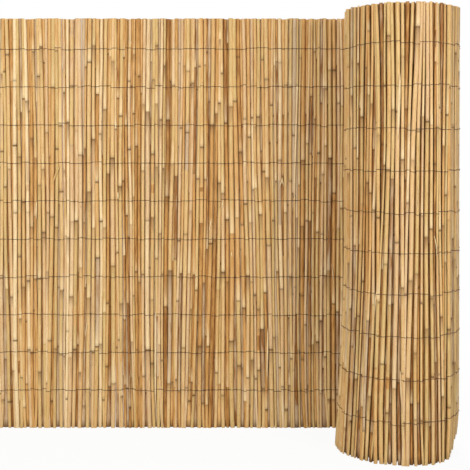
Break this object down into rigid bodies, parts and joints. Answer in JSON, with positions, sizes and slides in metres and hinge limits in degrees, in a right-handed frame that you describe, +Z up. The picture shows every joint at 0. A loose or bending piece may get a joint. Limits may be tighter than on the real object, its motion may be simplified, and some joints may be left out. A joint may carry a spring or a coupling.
{
  "type": "reed screen",
  "caption": "Partly unrolled garden screen: a flat run of upright reeds bound by rows of thin wire, winding at one end into a roll that stands on its end and holds the run up.",
  "frame": {"origin": "on the floor, in the middle of the screen's box", "axes": "+Z up along the reeds, +X along the flat run towards the roll, +Y towards the back of the run, so the viewer looks along +Y"},
  "size_m": [1.1384, 0.2738, 1],
  "materials": {
    "reed": "dry natural reed, satin",
    "wire": "dull dark brown"
  },
  "bodies": {
    "root": {"flat_run": "reed", "rolled_turns": "reed", "binding_wire_01": "wire", "binding_wire_02": "wire", "binding_wire_03": "wire", "binding_wire_04": "wire", "binding_wire_05": "wire", "binding_wire_06": "wire", "binding_wire_07": "wire", "binding_wire_08": "wire", "binding_wire_09": "wire", "binding_wire_10": "wire"}
  },
  "joints": []
}
